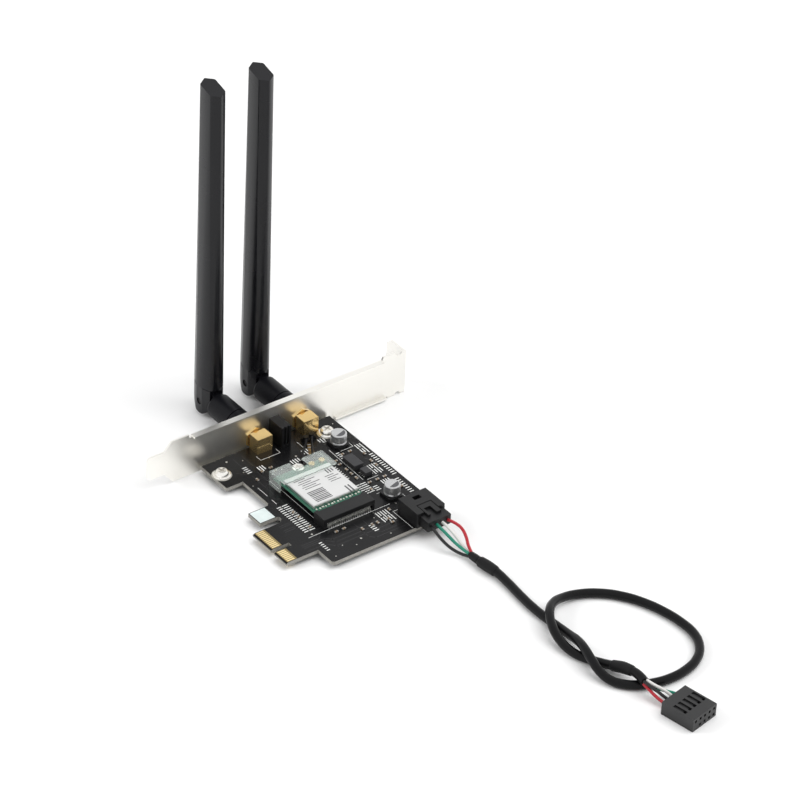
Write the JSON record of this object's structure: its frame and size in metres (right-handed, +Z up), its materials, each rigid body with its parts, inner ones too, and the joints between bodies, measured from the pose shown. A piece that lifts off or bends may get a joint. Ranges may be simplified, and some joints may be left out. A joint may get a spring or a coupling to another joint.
{
  "type": "wifi card",
  "caption": "Wireless plug-in card with a slot bracket, folding blade antennas, a radio module under a clear clip, and a lead ending in a small header connector.",
  "frame": {"origin": "middle of the base under the card and its antennas, on the table, at the level of the bracket foot; the lead is left out of that box", "axes": "+X from the bracket towards the far end of the card, +Y from the bracket tongue towards its slotted tab, +Z up from the table, the component side up"},
  "size_m": [0.2577, 0.12, 0.1455],
  "materials": {
    "solder_mask_black": "satin",
    "gold_plate": "polished",
    "bright_nickel": "bright nickel plate",
    "white_insulator": "smooth",
    "black_plastic": "satin",
    "lamp_clear": "clear",
    "green_board": "satin",
    "tinned_steel": "satin",
    "white_label": "matt",
    "brass": "turned",
    "clear_plastic": "clear",
    "coax_black": "satin",
    "can_aluminium": "satin",
    "chip_black": "matt",
    "part_ceramic": "matt",
    "wire_black": "satin",
    "wire_green": "satin",
    "wire_white": "satin",
    "wire_red": "satin",
    "sleeve_black": "matt",
    "cable_black": "satin",
    "antenna_black": "satin",
    "pin_black": "satin",
    "radiator_copper": "bare"
  },
  "bodies": {
    "card": {"board": "solder_mask_black", "edge_contacts": "gold_plate", "bracket": "bright_nickel", "bracket_screws": "bright_nickel", "socket_body_left": "gold_plate", "socket_body_right": "gold_plate", "socket_insulators": "white_insulator", "socket_centres": "gold_plate", "lock_washers": "gold_plate", "socket_nuts": "gold_plate", "light_holder": "black_plastic", "lamps": "lamp_clear", "module_socket": "black_plastic", "module_socket_contacts": "tinned_steel", "module_board": "green_board", "module_shield": "tinned_steel", "module_label": "white_label", "module_screw": "bright_nickel", "module_standoff": "brass", "coax_plugs": "gold_plate", "clear_clip": "clear_plastic", "coax_lead_left": "coax_black", "coax_lead_right": "coax_black", "coax_receptacles": "gold_plate", "capacitor_can_near": "can_aluminium", "capacitor_can_far": "can_aluminium", "capacitor_bases": "black_plastic", "regulator_chip": "chip_black", "power_chip": "chip_black", "small_parts": "part_ceramic", "pin_header": "black_plastic", "header_pins": "gold_plate", "cable_plug": "black_plastic", "plug_contacts": "gold_plate", "plug_wire_black": "wire_black", "plug_wire_green": "wire_green", "plug_wire_white": "wire_white", "plug_wire_red": "wire_red", "neck_sleeve": "sleeve_black", "near_sleeve": "sleeve_black", "cable": "cable_black", "far_sleeve": "sleeve_black", "end_wire_red": "wire_red", "end_wire_white": "wire_white", "end_wire_black": "wire_black", "end_wire_green": "wire_green", "end_connector": "black_plastic", "end_contacts": "gold_plate", "coupling_ring_left": "antenna_black", "coupling_ring_right": "antenna_black"},
    "left_hub": {"knuckle_left": "antenna_black"},
    "right_hub": {"knuckle_right": "antenna_black"},
    "left_arm": {"hinge_pin_left": "pin_black", "blade_left": "antenna_black", "radiator_left": "radiator_copper"},
    "right_arm": {"hinge_pin_right": "pin_black", "blade_right": "antenna_black", "radiator_right": "radiator_copper"}
  },
  "joints": [
    {"name": "left_swivel", "type": "hinge", "parent": "card", "child": "left_hub", "pos_m": [-0.05108, -0.01121, 0.0067], "axis": [1, 0, 0], "range_deg": [0, 90]},
    {"name": "right_swivel", "type": "hinge", "parent": "card", "child": "right_hub", "pos_m": [-0.05108, 0.01029, 0.0067], "axis": [-1, 0, 0], "range_deg": [0, 90]},
    {"name": "left_tilt", "type": "hinge", "parent": "left_hub", "child": "left_arm", "pos_m": [-0.05108, -0.01121, 0.0067], "axis": [0, -1, 0], "range_deg": [0, 90]},
    {"name": "right_tilt", "type": "hinge", "parent": "right_hub", "child": "right_arm", "pos_m": [-0.05108, 0.01029, 0.0067], "axis": [0, -1, 0], "range_deg": [0, 90]}
  ]
}
